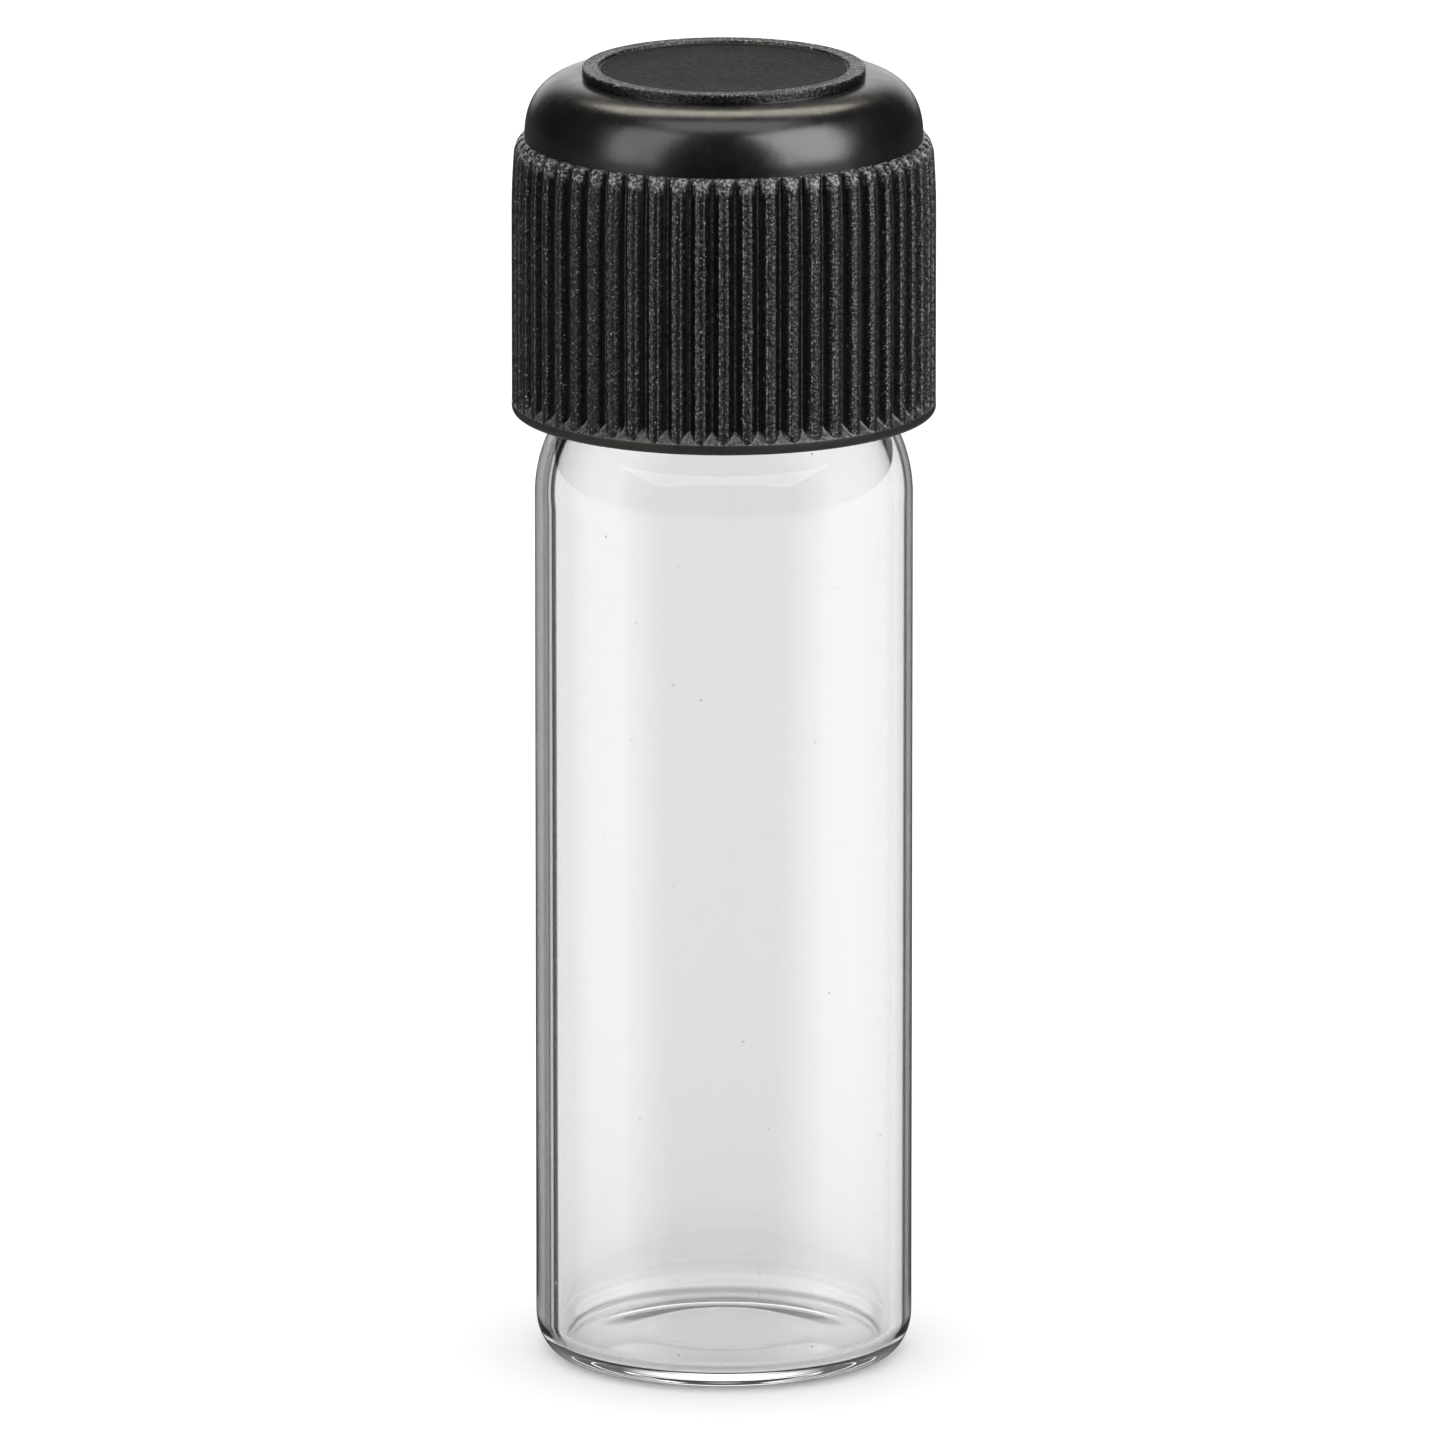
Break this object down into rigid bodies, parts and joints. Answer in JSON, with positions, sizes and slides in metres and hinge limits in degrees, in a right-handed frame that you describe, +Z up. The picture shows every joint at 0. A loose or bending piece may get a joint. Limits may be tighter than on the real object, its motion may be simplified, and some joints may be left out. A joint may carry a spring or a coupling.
{
  "type": "gold sample vial",
  "caption": "Clear glass sample vial with a threaded neck and a black ribbed screw cap lined with a sealing disc.",
  "frame": {"origin": "centre of the vial's base, on the surface it stands on", "axes": "+Z up the vial's axis to the cap; +X and +Y across it, with a rib of the cap on each"},
  "size_m": [0.0186, 0.0186, 0.0575],
  "materials": {
    "clear_glass": "clear, fire-polished glass",
    "cap_black": "black moulded plastic, satin ribs and a polished dome",
    "liner_pulp": "pressed pulp board",
    "liner_film": "white sealing film"
  },
  "bodies": {
    "vial": {"glass_vial": "clear_glass"},
    "liner": {"liner_backing": "liner_pulp", "liner_facing": "liner_film"},
    "cap": {"screw_cap": "cap_black"}
  },
  "joints": [
    {"name": "cap_lift", "type": "slide", "parent": "vial", "child": "liner", "axis": [0, 0, 1], "range_m": [0, 0.0202]},
    {"name": "cap_turn", "type": "hinge", "parent": "liner", "child": "cap", "pos_m": [0, 0, 0.0422], "axis": [0, 0, 1], "range_deg": [0, 3420]}
  ],
  "couplings": [
    {"joint": "cap_lift", "follows": "cap_turn", "m_per_rad": 0.00033688}
  ]
}
